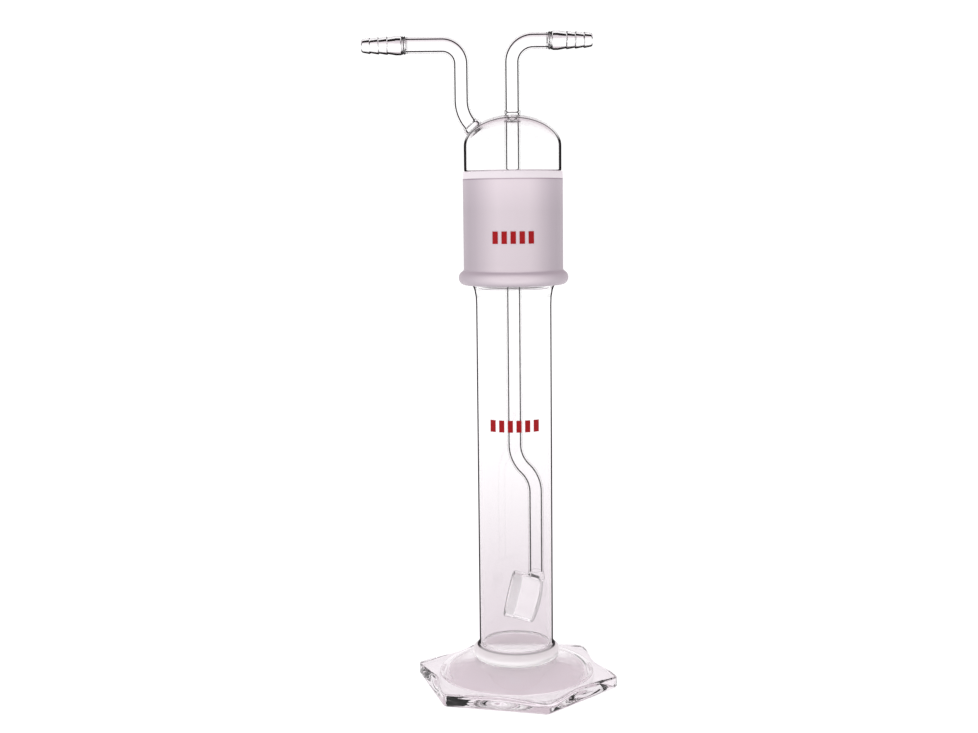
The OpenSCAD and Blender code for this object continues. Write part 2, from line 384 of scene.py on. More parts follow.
@dataclass(frozen=True)
class SinteredGlass:
    """Glass powder fused into a porous disc: white grains with slightly greyer pores.

    It glows white with a painted light, which keeps it bright inside the chamber's glass.
    The grains are drawn coarser than they are, so that they show.
    """

    name: str = "sintered_borosilicate_frit"
    grain: str = "FFFFFF"
    pore: str = "E6E2E5"
    grain_mm: float = 0.7
    # Painted light: the disc glows white.
    glow: float = 0.5

    def build(self) -> bpy.types.Material:
        """Builds the material."""
        material, tree = blank_material(self.name)
        where = object_position(tree)
        cells = add_node(
            tree,
            "ShaderNodeTexVoronoi",
            values={"Scale": 1 / (self.grain_mm * MM)},
            links={"Vector": where},
        )
        cloud = add_node(
            tree,
            "ShaderNodeTexNoise",
            values={"Scale": 1 / (4 * self.grain_mm * MM), "Detail": 4.0},
            links={"Vector": where},
        )
        blend = add_node(
            tree,
            "ShaderNodeMath",
            {"operation": "MULTIPLY"},
            links={0: cells.outputs["Distance"], 1: cloud.outputs[0]},
        )
        ramp = add_node(tree, "ShaderNodeValToRGB", links={"Fac": blend.outputs[0]})
        fill_ramp(ramp, ((0.05, self.grain), (0.5, self.pore)))
        bump = add_node(
            tree,
            "ShaderNodeBump",
            {"invert": True},
            {"Strength": 0.8, "Distance": 0.12 * MM},
            {"Height": cells.outputs["Distance"]},
        )
        shader = add_node(
            tree,
            "ShaderNodeBsdfPrincipled",
            values={
                "Roughness": 0.8,
                "IOR": 1.47,
                "Emission Color": linear(self.grain),
                "Emission Strength": self.glow,
            },
            links={"Base Color": ramp.outputs["Color"], "Normal": bump.outputs[0]},
        )
        finish_material(tree, shader)
        return material


@dataclass(frozen=True)
class FiredEnamel:
    """Red ceramic enamel, screened on and fired: a deep red with a soft gloss.

    It is slightly uneven in thickness, so the red is a little lighter where it is thin.
    """

    name: str = "fired_red_enamel"
    deep: str = "94040C"
    thin: str = "A20A13"
    mottle_mm: float = 1.2

    def build(self) -> bpy.types.Material:
        """Builds the material."""
        material, tree = blank_material(self.name)
        where = object_position(tree)
        mottle = add_node(
            tree,
            "ShaderNodeTexNoise",
            values={"Scale": 1 / (self.mottle_mm * MM), "Detail": 3.0},
            links={"Vector": where},
        )
        ramp = add_node(tree, "ShaderNodeValToRGB", links={"Fac": mottle.outputs[0]})
        fill_ramp(ramp, ((0.35, self.deep), (0.7, self.thin)))
        bump = add_node(
            tree,
            "ShaderNodeBump",
            values={"Strength": 0.4, "Distance": 0.02 * MM},
            links={"Height": mottle.outputs[0]},
        )
        shader = add_node(
            tree,
            "ShaderNodeBsdfPrincipled",
            values={"Roughness": 0.42, "IOR": 1.45, "Specular IOR Level": 0.2},
            links={"Base Color": ramp.outputs["Color"], "Normal": bump.outputs[0]},
        )
        finish_material(tree, shader)
        return material


@dataclass(frozen=True)
class StudioPaper:
    """Matte white paper on a light table: it glows, so that it hardly takes a shadow."""

    name: str = "backlit_white_paper"
    dim: str = "7C7A7C"
    bright: str = "828082"
    glow: float = 0.96
    fibre_mm: float = 2.5

    def build(self) -> bpy.types.Material:
        """Builds the material."""
        material, tree = blank_material(self.name)
        fibre = add_node(
            tree,
            "ShaderNodeTexNoise",
            values={"Scale": 1 / (self.fibre_mm * MM)},
            links={"Vector": object_position(tree)},
        )
        ramp = add_node(tree, "ShaderNodeValToRGB", links={"Fac": fibre.outputs[0]})
        fill_ramp(ramp, ((0.3, self.dim), (0.7, self.bright)))
        shader = add_node(
            tree,
            "ShaderNodeBsdfPrincipled",
            values={
                "Roughness": 0.95,
                "Specular IOR Level": 0.1,
                "Emission Color": linear("FFFFFF"),
                "Emission Strength": self.glow,
            },
            links={"Base Color": ramp.outputs["Color"]},
        )
        finish_material(tree, shader)
        return material


# Drawn tubing, 8 mm outside: clear in its middle, with painted shade: a crisp black line at
# each side of its bore, and a thin grey edge outside it.
TUBING = ClearGlass(
    "drawn_borosilicate_tubing",
    ((0.24, 0.0), (0.265, 1.0), (0.41, 1.0), (0.45, 0.06), (0.86, 0.08), (0.97, 0.45)),
)
# The same tubing drawn out and serrated, with painted shade: lines nearer its middle, and
# black below each step.
BARB = ClearGlass(
    "drawn_serrated_borosilicate",
    ((0.13, 0.0), (0.17, 1.0), (0.34, 1.0), (0.38, 0.05), (0.86, 0.1), (0.97, 0.5)),
    side_lines=((0.36, 0.0), (0.43, 1.0), (1.0, 1.0)),
)
# The blown cylinder, with painted shade: one black line at each edge, and a faint lilac
# shade low down.
CYLINDER = ClearGlass(
    "blown_borosilicate_cylinder",
    ((0.72, 0.0), (0.76, 1.0), (1.0, 1.0)),
    cast="D7CFD4",
    high_z=170.0,
)
# The blown dome, with painted shade: a thin line round its crown, which broadens to a black
# edge at its wall.
DOME = ClearGlass(
    "flame_worked_dome",
    ((0.67, 0.0), (0.70, 0.9), (0.73, 0.9), (0.76, 0.0), (0.95, 0.1), (1.0, 0.4)),
    side_lines=((0.65, 0.0), (0.70, 1.0), (1.0, 1.0)),
    side_from=0.75,
    side_to=0.25,
)
# A ring where two tubes were melted together: painted shade, dark but for a spark in its
# middle.
WELD_PAINTED_SHADE = ClearGlass("flame_welded_ring", ((0.30, 0.0), (0.42, 0.95), (1.0, 1.0)))
# The thin notch where the cylinder meets its collar: a dark line of painted shade all round.
ROOT_PAINTED_SHADE = ClearGlass("fused_root", ((0.0, 0.45), (0.50, 0.5), (0.62, 0.95), (1.0, 1.0)))
# The band above the sleeve, where grinding stops: nearly covered with a painted white
# light.
SHOULDER_PAINTED_LIGHT = ClearGlass(
    "fire_polished_shoulder",
    ((0.0, 0.85), (1.0, 0.9)),
    painted_light_colour="F1EAEF",
)
# The inside of a tube: clear, so that the outside alone draws the lines, with a faint
# painted shade where it grazes.
SMOOTH_INSIDE = ClearGlass("fire_polished_bore", ((0.94, 0.0), (1.0, 0.2)))
# The chamber's outside: clear, with a soft grey edge of painted shade.
CHAMBER = ClearGlass("flame_worked_chamber", ((0.80, 0.0), (0.92, 0.5), (1.0, 0.65)))
# Glass pressed in a mould: clear, slowly rippled, with painted shade: soft grey edges and a
# faint lilac low down.
PRESSED = ClearGlass(
    "pressed_glass",
    ((0.88, 0.0), (0.97, 0.4), (1.0, 0.6)),
    cast="EFE9ED",
    ripple_mm=14.0,
    ripple_depth=0.12,
)
# The hollow under the foot: where light can't leave it, it shows as a lilac mirror; that
# reflection is painted, an opaque lilac white that glows a little.
UNDERSIDE_PAINTED_REFLECTION = ClearGlass(
    "pressed_hollow_underside",
    ((0.25, 0.0), (0.272, 1.0), (1.0, 1.0)),
    painted_light_colour="F0EAED",
    glow=0.3,
)
# The empty part of the chamber's inside: a painted light, a faint white over the glass that
# glows.
LINING_PAINTED_GLOW = ClearGlass(
    "flame_worked_chamber_lining", ((0.0, 0.2), (1.0, 0.2)), painted_light_colour="FFFFFF", glow=0.8
)
# The thick fused bead: half clear, half covered with a painted white highlight, which
# stands in for the light it bends all around.
COLLAR_PAINTED_HIGHLIGHT = ClearGlass(
    "fused_collar_bead",
    ((0.0, 0.42), (0.55, 0.42), (0.85, 0.25), (1.0, 0.25)),
    painted_light_colour="FFFEFC",
)
# The ground seat seen through the cone's clear inner face: evenly pale, with a painted glow
# where the light doesn't reach it.
SEAT_INSIDE_PAINTED_GLOW = ClearGlass(
    "ground_seat_through_glass",
    ((0.0, 0.9), (1.0, 0.9)),
    painted_light_colour="E9E3E7",
    glow=0.6,
)
# The ground seat and sleeve: matte lilac grey, with painted shade: darker at the edges,
# lighter in the middle, and banded by height, with a thin dark line at the cone's rim.
GROUND = GroundGlass(
    "grit_ground_borosilicate",
    (
        (0.05, "E0D6DC"),
        (0.2, "CEC4CB"),
        (0.35, "C0B6BE"),
        (0.5, "BAB0B8"),
        (1.0, "BEB4BC"),
    ),
    (
        (206.0, "F8F8F8"),
        (213.0, "F5F5F5"),
        (217.0, "EFEFEF"),
        (243.0, "EFEFEF"),
        (255.5, "FBFBFB"),
        (258.2, "FBFBFB"),
        (258.5, "C9C0C7"),
        (258.8, "C9C0C7"),
        (259.1, "FFFFFF"),
        (266.0, "FFFFFF"),
    ),
)


# ---- meshes ----


def round_corners(corners: Sequence[tuple], steps: int = 6) -> list[Point]:
    """Rounds the corners of an open line.

    Args:
        corners: points (r, z) or (r, z, radius) in millimetres.
        steps: points along each rounded corner, less one.

    Returns:
        The points of the rounded line.
    """
    line: list[Point] = []
    last = len(corners) - 1
    for i, corner in enumerate(corners):
        here = np.array(corner[:2], float)
        radius = corner[2] if len(corner) > 2 else 0.0
        if radius <= 0 or i in (0, last):
            line.append((here[0], here[1]))
            continue
        back = np.array(corners[i - 1][:2], float) - here
        ahead = np.array(corners[i + 1][:2], float) - here
        back_len, ahead_len = np.linalg.norm(back), np.linalg.norm(ahead)
        back, ahead = back / back_len, ahead / ahead_len
        half = math.acos(max(-1.0, min(1.0, float(back @ ahead)))) / 2
        reach = min(radius / math.tan(half), 0.49 * back_len, 0.49 * ahead_len)
        for k in range(steps + 1):
            t = k / steps
            bow = here + (1 - t) ** 2 * reach * back + t**2 * reach * ahead
            line.append((float(bow[0]), float(bow[1])))
    return line


def densify(line: Sequence[Point], longest: float) -> list[Point]:
    """Adds points to a line.

    Args:
        line: points in millimetres.
        longest: the longest step that the new line may have.

    Returns:
        The line with its own points and the added ones.
    """
    dense = [line[0]]
    for (r0, z0), (r1, z1) in zip(line, line[1:]):
        count = max(1, math.ceil(math.hypot(r1 - r0, z1 - z0) / longest))
        dense += [
            (r0 + (r1 - r0) * k / count, z0 + (z1 - z0) * k / count)
            for k in range(1, count + 1)
        ]
    return dense


def ring_mesh(
    name: str, rings: Sequence[np.ndarray], closed: bool, crease_deg: float = 32.0
) -> bpy.types.Mesh:
    """Skins rings of points into one mesh.

    Args:
        name: the mesh's name.
        rings: arrays of points in millimetres; a ring of one point is a pole.
        closed: whether the last ring joins the first.
        crease_deg: edges that turn by more than this stay sharp.

    Returns:
        The mesh, in metres, with smooth faces.
    """
    shape = bmesh.new()
    loops = [[shape.verts.new(Vector(p) * MM) for p in ring] for ring in rings]
    pairs = list(zip(loops, loops[1:]))
    if closed:
        pairs.append((loops[-1], loops[0]))
    for low, high in pairs:
        count = max(len(low), len(high))
        if count == 1:
            continue
        for k in range(count):
            n = (k + 1) % count
            corners = [
                low[k % len(low)],
                low[n % len(low)],
                high[n % len(high)],
                high[k % len(high)],
            ]
            unique = list(dict.fromkeys(corners))
            if len(unique) > 2:
                shape.faces.new(unique)
    return settle(name, shape, crease_deg)


def settle(
    name: str, shape: bmesh.types.BMesh, crease_deg: float = 32.0
) -> bpy.types.Mesh:
    """Turns a bmesh into a smooth mesh with outward normals.

    Args:
        name: the mesh's name.
        shape: the bmesh, which is freed.
        crease_deg: edges that turn by more than this stay sharp.

    Returns:
        The mesh.
    """
    bmesh.ops.remove_doubles(shape, verts=shape.verts, dist=1e-8)
    bmesh.ops.recalc_face_normals(shape, faces=shape.faces)
    limit = math.radians(crease_deg)
    for face in shape.faces:
        face.smooth = True
    for edge in shape.edges:
        edge.smooth = (
            len(edge.link_faces) == 2 and edge.calc_face_angle(0.0) < limit
        )
    mesh = bpy.data.meshes.new(name)
    shape.to_mesh(mesh)
    shape.free()
    return mesh


def level_ring(angles: np.ndarray, radius: float | np.ndarray, z: float) -> np.ndarray:
    """A level ring of points; the radius may differ from one direction to the next."""
    height = np.full(len(angles), float(z))
    return np.stack([radius * np.cos(angles), radius * np.sin(angles), height], 1)


def turned_rings(line: Sequence[Point], angles: np.ndarray) -> list[np.ndarray]:
    """Turns a line round the Z axis.

    Args:
        line: points (r, z) in millimetres; a point on the axis becomes a pole.
        angles: the directions of the ring's points.

    Returns:
        One ring of points for each point of the line.
    """
    return [
        np.array([(0.0, 0.0, z)]) if r < 1e-6 else level_ring(angles, r, z)
        for r, z in line
    ]


def even_angles(segments: int) -> np.ndarray:
    """Directions that share a full turn evenly."""
    return np.arange(segments) * 2 * math.pi / segments


def revolve(
    name: str, line: Sequence[Point], segments: int = 192, closed: bool = True
) -> bpy.types.Mesh:
    """Turns a line round the Z axis into a closed mesh.

    Args:
        name: the mesh's name.
        line: points (r, z) in millimetres.
        segments: points round each ring.
        closed: whether the line's end joins its start.

    Returns:
        The mesh.
    """
    return ring_mesh(name, turned_rings(line, even_angles(segments)), closed)


def place(name: str, mesh: bpy.types.Mesh) -> bpy.types.Object:
    """Puts a mesh into the scene.

    Args:
        name: the object's name.
        mesh: its mesh.

    Returns:
        The object.
    """
    piece = bpy.data.objects.new(name, mesh)
    bpy.context.scene.collection.objects.link(piece)
    return piece


def carve(
    piece: bpy.types.Object, tool: bpy.types.Object, operation: str
) -> bpy.types.Object:
    """Joins a tool's shape to a piece, or cuts it away, and drops the tool.

    Args:
        piece: the object that is changed.
        tool: the object that is joined or cut away.
        operation: Blender's name of the boolean operation.

    Returns:
        The piece, with its new mesh.
    """
    modifier = piece.modifiers.new("carve", "BOOLEAN")
    modifier.operation = operation
    modifier.solver = "EXACT"
    modifier.object = tool
    bpy.context.view_layer.update()
    graph = bpy.context.evaluated_depsgraph_get()
    made = bpy.data.meshes.new_from_object(piece.evaluated_get(graph))
    piece.modifiers.clear()
    shape = bmesh.new()
    shape.from_mesh(made)
    piece.data = settle(piece.name, shape)
    bpy.data.objects.remove(tool)
    return piece


@dataclass
class Route:
    """A centreline in the XZ plane: points and unit directions, in millimetres."""

    points: np.ndarray
    heading: np.ndarray

    @classmethod
    def straight(cls, start: Point, end: Point, step: float) -> "Route":
        """Makes a straight run.

        Args:
            start: its first point.
            end: its last point.
            step: the longest distance between two points.

        Returns:
            The run.
        """
        a, b = np.array(start, float), np.array(end, float)
        span = float(np.linalg.norm(b - a))
        count = max(1, math.ceil(span / step))
        share = np.linspace(0, 1, count + 1)[:, None]
        return cls(a + (b - a) * share, np.tile((b - a) / span, (count + 1, 1)))

    @classmethod
    def bend(
        cls, centre: Point, radius: float, start_deg: float, end_deg: float
    ) -> "Route":
        """Makes a bend.

        Args:
            centre: the middle of the bend's circle.
            radius: the circle's radius.
            start_deg: the direction of the first point from the centre.
            end_deg: the direction of the last point.

        Returns:
            The bend.
        """
        count = max(6, math.ceil(abs(end_deg - start_deg) / 3))
        angle = np.radians(np.linspace(start_deg, end_deg, count + 1))
        spoke = np.stack([np.cos(angle), np.sin(angle)], 1)
        way = math.copysign(1.0, end_deg - start_deg)
        ahead = way * np.stack([-np.sin(angle), np.cos(angle)], 1)
        return cls(np.array(centre) + radius * spoke, ahead)

    def then(self, other: "Route") -> "Route":
        """Joins another run to this one.

        Args:
            other: a run that starts where this one ends.

        Returns:
            Both as one run.
        """
        return Route(
            np.vstack([self.points, other.points[1:]]),
            np.vstack([self.heading, other.heading[1:]]),
        )

    def lengths(self) -> np.ndarray:
        """The distance of each point from the start, along the line."""
        steps = np.linalg.norm(np.diff(self.points, axis=0), axis=1)
        return np.concatenate([[0.0], np.cumsum(steps)])

    def rings(self, radius: Radius, segments: int) -> list[np.ndarray]:
        """Lays rings round the line.

        Args:
            radius: the radius by distance along the line.
            segments: points round each ring.

        Returns:
            One ring of points for each point of the line.
        """
        angles = even_angles(segments)
        rings = []
        for point, ahead, r in zip(self.points, self.heading, radius(self.lengths())):
            side = np.array([ahead[1], 0.0, -ahead[0]])
            centre = np.array([point[0], 0.0, point[1]])
            across = np.outer(np.cos(angles), side)
            across[:, 1] += np.sin(angles)
            rings.append(centre + r * across)
        return rings


def constant(radius: float) -> Radius:
    """The same radius all along a line."""
    return lambda s: 0 * s + radius


def tube(
    name: str,
    route: Route,
    outer: Radius,
    inner: Radius | None,
    segments: int = 64,
) -> bpy.types.Mesh:
    """Sweeps a tube, or a rod where inner is None, along a route.

    Args:
        name: the mesh's name.
        route: the centreline.
        outer: outer radius by distance along the line.
        inner: bore radius by distance along the line.
        segments: points round the tube.

    Returns:
        The closed mesh. The bore's faces have material index 1.
    """
    rings = route.rings(outer, segments)
    if inner is None:
        ends = [route.points[0], route.points[-1]]
        first, last = [np.array([(p[0], 0.0, p[1])]) for p in ends]
        return ring_mesh(name, [first, *rings, last], closed=False)
    count = len(rings)
    mesh = ring_mesh(name, rings + route.rings(inner, segments)[::-1], closed=True)
    for face in mesh.polygons:
        if min(face.vertices) >= count * segments:
            face.material_index = 1
    return mesh


def dress(
    piece: bpy.types.Object, body: Body, slot: Slot, *materials: bpy.types.Material
) -> bpy.types.Object:
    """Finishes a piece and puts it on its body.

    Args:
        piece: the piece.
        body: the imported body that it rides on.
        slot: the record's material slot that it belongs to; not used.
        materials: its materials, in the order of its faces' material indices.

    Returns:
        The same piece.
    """
    for material in materials:
        piece.data.materials.append(material)
    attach(piece, body.value)
    LOG.info("%s rides on %s", piece.name, body.value)
    return piece


def mark_barb(mesh: bpy.types.Mesh, base_x: float, weld: float) -> None:
    """Gives an arm's outer faces material index 2 on its barb and 3 on its weld.

    Args:
        mesh: the arm's mesh.
        base_x: where the barb starts, in millimetres.
        weld: the length of the weld before it.
    """
    for face in mesh.polygons:
        past = abs(face.center.x) / MM - abs(base_x)
        if face.material_index == 0 and past > -weld:
            face.material_index = 2 if past > 0 else 3


def span(node: str) -> tuple[Vector, Vector]:
    """A CAD node's box in millimetres."""
    low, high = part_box(node)
    return low / MM, high / MM


@dataclass
class Looks:
    """The built materials, shared by the pieces."""

    tubing: bpy.types.Material
    barb: bpy.types.Material
    cylinder: bpy.types.Material
    dome: bpy.types.Material
    root: bpy.types.Material
    weld: bpy.types.Material
    collar: bpy.types.Material
    lining: bpy.types.Material
    shoulder: bpy.types.Material
    inside: bpy.types.Material
    pressed: bpy.types.Material
    ground: bpy.types.Material
    seat_inside: bpy.types.Material
    underside: bpy.types.Material
    chamber: bpy.types.Material
    frit: bpy.types.Material
    enamel: bpy.types.Material

    @classmethod
    def make(cls) -> "Looks":
        """Builds every material once, in the order of the fields."""
        return cls(
            TUBING.build(),
            BARB.build(),
            CYLINDER.build(),
            DOME.build(),
            ROOT_PAINTED_SHADE.build(),
            WELD_PAINTED_SHADE.build(),
            COLLAR_PAINTED_HIGHLIGHT.build(),
            LINING_PAINTED_GLOW.build(),
            SHOULDER_PAINTED_LIGHT.build(),
            SMOOTH_INSIDE.build(),
            PRESSED.build(),
            GROUND.build(),
            SEAT_INSIDE_PAINTED_GLOW.build(),
            UNDERSIDE_PAINTED_REFLECTION.build(),
            CHAMBER.build(),
            SinteredGlass().build(),
            FiredEnamel().build(),
        )


# ---- sub-assemblies ----


@dataclass
class Bottle:
    """The standing bottle: pressed hexagonal foot, fused collar and cylinder, in one."""

    foot_r: float = 53.0
    foot_top: float = 6.0
    foot_turn: float = -13.0
    corner_r: float = 3.5
    edge_r: float = 0.9
    scoop: float = 3.0
    scoop_share: float = 0.86
    dome_r: float = 39.6
    dome_fillet: float = 1.6
    shoulder_r: float = 20.6
    hollow_r: float = 34.6
    hollow_h: float = 4.0
    hollow_rings: int = 30
    # The hollow's painted lilac reflection reaches out to this radius.
    painted_reflection_r: float = 33.0
    collar_bulge: float = 3.5
    collar_from: float = 0.8
    wall: float = 1.8
    floor_t: float = 2.0
    floor_corner: float = 1.54
    root_low: float = 19.95
    root_high: float = 20.5
    neck_z: float = 196.0
    joint_seam: float = 207.6
    segments: int = 480

    def angles(self) -> np.ndarray:
        """Directions round the foot, closer together near its corners."""
        even = even_angles(self.segments)
        return even - 0.8 / 6 * np.sin(6 * even) + math.radians(self.foot_turn)

    def hexagon(self, angles: np.ndarray) -> np.ndarray:
        """Works out the foot's rounded hexagon.

        Args:
            angles: directions round the foot.

        Returns:
            The hexagon's radius in each direction.
        """
        sixth = math.radians(60)
        turned = angles - math.radians(self.foot_turn)
        off = np.abs((turned + sixth / 2) % sixth - sixth / 2)
        flat = self.foot_r * math.cos(sixth / 2)
        side = flat / np.cos(sixth / 2 - off)
        centre = self.foot_r - self.corner_r / math.cos(sixth / 2)
        root = np.maximum(self.corner_r**2 - (centre * np.sin(off)) ** 2, 0)
        corner = centre * np.cos(off) + np.sqrt(root)
        reach = self.corner_r * math.sin(sixth / 2)
        limit = math.atan2(reach, centre + self.corner_r * math.cos(sixth / 2))
        return np.where(off < limit, corner, side)

    def scooped(self, angles: np.ndarray) -> np.ndarray:
        """Works out how far the upper edge of each side bows inwards.

        Args:
            angles: directions round the foot.

        Returns:
            The bow in each direction.
        """
        sixth = math.radians(60)
        turned = angles - math.radians(self.foot_turn)
        along = (turned % sixth) - sixth / 2
        share = np.tan(along) / math.tan(sixth / 2) / self.scoop_share
        bow = np.cos(np.clip(share, -1, 1) * math.pi / 2) ** 2
        return self.scoop * bow / np.cos(along)

    def foot_rings(self) -> list[np.ndarray]:
        """Lays rings from the middle of the hollow underside to the flat top of the foot.

        Returns:
            The pole of the hollow and the rings, from the middle outwards and up.
        """
        angles, top = self.angles(), self.foot_top
        edge, bow = self.hexagon(angles), self.scooped(angles)
        rings = [np.array([(0.0, 0.0, self.hollow_h)])]
        steps = np.arange(1, self.hollow_rings + 1)
        for a in np.radians(90 - 90 / self.hollow_rings * steps):
            radius, z = self.hollow_r * math.cos(a), self.hollow_h * math.sin(a)
            rings.append(level_ring(angles, radius, z))
        quarter = np.radians(np.arange(0, 91, 15))
        for a in quarter:
            inset = self.edge_r * (1 - math.sin(a))
            rings.append(level_ring(angles, edge - inset, self.edge_r * (1 - math.cos(a))))
        low, high = self.edge_r, top - self.edge_r
        for share in np.linspace(0, 1, 13)[1:]:
            eased = share * share * (3 - 2 * share)
            z = low + (high - low) * share
            rings.append(level_ring(angles, edge - bow * eased, z))
        for a in quarter[1:]:
            inset = self.edge_r * (1 - math.cos(a))
            z = high + self.edge_r * math.sin(a)
            rings.append(level_ring(angles, edge - bow - inset, z))
        inner = edge - bow - self.edge_r
        rim = self.dome_r + self.dome_fillet
        for share in (0.25, 0.5, 0.75):
            rings.append(level_ring(angles, inner + (rim - inner) * share, top))
        return rings

    def outer_line(self, dome_z: float, tube_r: float) -> list[Point]:
        """Draws the outside from the edge of the foot's dome up to the seam with the cone.

        Args:
            dome_z: the height of the dome's shoulder.
            tube_r: the cylinder's radius.

        Returns:
            The outline's points.
        """
        top, width = self.foot_top, self.dome_r - self.shoulder_r
        dome = [
            (
                self.shoulder_r + width * math.cos(a),
                top + (dome_z - top) * (math.sin(a) + 1 - math.cos(a)) / 2,
            )
            for a in np.radians(np.arange(14, 91, 4))
        ]
        bulge = self.collar_bulge
        collar = [
            (
                tube_r + bulge * math.cos(math.radians(a)),
                dome_z + bulge + bulge * math.sin(math.radians(a)),
            )
            for a in range(-56, 77, 7)
        ]
        rim = self.dome_r + self.dome_fillet
        root = [(rim, top), (self.dome_r, top, 1.4), *dome]
        waist = [(self.shoulder_r - 0.2, dome_z + 0.1, 0.6), *collar]
        neck = [(tube_r, dome_z + 2 * bulge + 0.4, 1.0), (tube_r, self.neck_z)]
        flare = [
            (tube_r + 0.15, 200.0, 5.0),
            (tube_r + 0.8, 203.6, 4.0),
            (tube_r + 1.9, 206.4, 2.5),
            (tube_r + 3.0, self.joint_seam),
        ]
        return densify(round_corners(root + waist + neck + flare), 4.0)

    def inner_line(self, floor_z: float, tube_r: float) -> list[Point]:
        """Draws the inside from the seam down to the middle of the floor.

        Args:
            floor_z: the height of the inner floor.
            tube_r: the cylinder's radius.

        Returns:
            The outline's points.
        """
        bore = tube_r - self.wall
        line = [
            (bore + 1.6, self.joint_seam),
            (bore + 0.9, 206.2, 1.5),
            (bore + 0.2, 202.5, 4.0),
            (bore, self.neck_z, 6.0),
            (bore, floor_z, self.floor_corner),
            (4.0, floor_z),
            (0.0, floor_z),
        ]
        return densify(round_corners(line, 8), 4.0)

    def mark_faces(
        self, mesh: bpy.types.Mesh, outside_rings: int, dome_z: float
    ) -> None:
        """Gives each face the index of its finish, in the order that build dresses them.

        Args:
            mesh: the bottle's mesh, whose vertices follow its rings.
            outside_rings: how many rings are outside, counting the hollow's pole.
            dome_z: the height of the foot dome's shoulder.
        """
        hollow_end = 1 + self.hollow_rings * self.segments
        outside_end = 1 + (outside_rings - 1) * self.segments
        collar_z = (dome_z + 2 * self.collar_bulge) * MM
        for face in mesh.polygons:
            last = max(face.vertices)
            top = max(mesh.vertices[v].co.z for v in face.vertices)
            middle = face.center.z / MM
            if last < hollow_end:
                # Painted reflection: the middle of the hollow takes the lilac underside.
                in_painted_reflection = face.center.xy.length < self.painted_reflection_r * MM
                face.material_index = 3 if in_painted_reflection else 2
            elif last >= outside_end:
                face.material_index = 1
            # Painted shade: a dark line round the root.
            elif self.root_low < middle < self.root_high:
                face.material_index = 4
            # Painted highlight: the collar bead is half white.
            elif dome_z + self.collar_from < middle < self.root_high:
                face.material_index = 5
            elif top < collar_z:
                face.material_index = 2

    def build(self, looks: Looks) -> bpy.types.Object:
        """Builds the bottle's glass as one closed mesh.

        Args:
            looks: the materials.

        Returns:
            The glass.
        """
        low, high = span("bottle_tube")
        dome_z = span("foot_collar")[0].z
        foot = self.foot_rings()
        outer = self.outer_line(dome_z, high.x)
        inner = self.inner_line(low.z + self.floor_t, high.x)
        rings = foot + turned_rings(outer + inner, self.angles())
        mesh = ring_mesh("bottle_glass", rings, closed=False)
        self.mark_faces(mesh, len(foot) + len(outer), dome_z)
        glass = place("bottle_glass", mesh)
        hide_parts("hex_foot", "foot_collar", "bottle_tube")
        return dress(
            glass,
            Body.BOTTLE,
            Slot.CLEAR,
            looks.cylinder,
            looks.inside,
            looks.pressed,
            looks.underside,
            looks.root,
            looks.collar,
        )


@dataclass
class Joint:
    """The ground joint: the cone on the cylinder and the sleeve of the head."""

    length: float = 50.0
    taper: float = 0.05
    seat_gap: float = 0.1
    seam_z: float = 207.6
    seam_gap: float = 0.04
    lip_r: float = 0.5
    cone_wall: float = 2.2
    sleeve_r: float = 25.0
    throat_r: float = 22.4
    rim_h: float = 7.0
    clear_from: float = 0.3

    def build_cone(self, looks: Looks) -> bpy.types.Object:
        """Builds the ground cone.

        Args:
            looks: the materials.

        Returns:
            The cone.
        """
        high = span("ground_cone")[1]
        big, top = high.x, high.z
        small, bore = big - self.length * self.taper, big - self.cone_wall
        bottom = self.seam_z + self.seam_gap
        outer = [
            (big - 0.35, bottom),
            (big, top - self.length, 0.6),
            (small, top, self.lip_r),
            (small - self.cone_wall, top, self.lip_r),
            (bore - 0.2, top - self.length + 2, 3.0),
            (bore - 1.4, bottom),
        ]
        mesh = revolve("ground_cone_glass", densify(round_corners(outer), 5.0), 256)
        # The inward faces show the seat through glass, with a painted glow.
        for face in mesh.polygons:
            if face.normal.xy.dot(face.center.xy) < 0:
                face.material_index = 1
        cone = place("ground_cone_glass", mesh)
        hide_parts("ground_cone")
        return dress(cone, Body.CONE, Slot.GROUND, looks.ground, looks.seat_inside)

    def build_sleeve(self, looks: Looks) -> bpy.types.Object:
        """Builds the ground sleeve with its rounded rim.

        Args:
            looks: the materials.

        Returns:
            The sleeve.
        """
        low, high = span("joint_socket")
        cone = span("ground_cone")[1]
        rim_r, rim_z, top = high.x, low.z, high.z - 0.02
        mouth = cone.x + (cone.z - self.length - rim_z) * self.taper + self.seat_gap
        seat = cone.x - self.length * self.taper + self.seat_gap
        inset_r = self.sleeve_r - 0.6
        bead = [
            (
                inset_r + (rim_r - self.sleeve_r + 0.6) * math.cos(a),
                rim_z + self.rim_h / 2 * (1 + math.sin(a)),
            )
            for a in np.radians(np.arange(-84, 70, 7))
        ]
        line = [
            *bead,
            (self.sleeve_r, rim_z + self.rim_h + 0.3, 1.2),
            (self.sleeve_r, cone.z + self.clear_from),
            (self.sleeve_r, top, 0.8),
            (self.throat_r, top, 0.6),
            (seat, cone.z, 2.0),
            (mouth, rim_z, 0.5),
        ]
        mesh = revolve("ground_sleeve_glass", densify(round_corners(line), 4.0), 256)
        # Above the cone's top the band is nearly covered with a painted white light.
        for face in mesh.polygons:
            if face.center.z > (cone.z + self.clear_from) * MM:
                face.material_index = 1
        sleeve = place("ground_sleeve_glass", mesh)
        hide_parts("joint_socket")
        return dress(sleeve, Body.HEAD, Slot.GROUND, looks.ground, looks.shoulder)


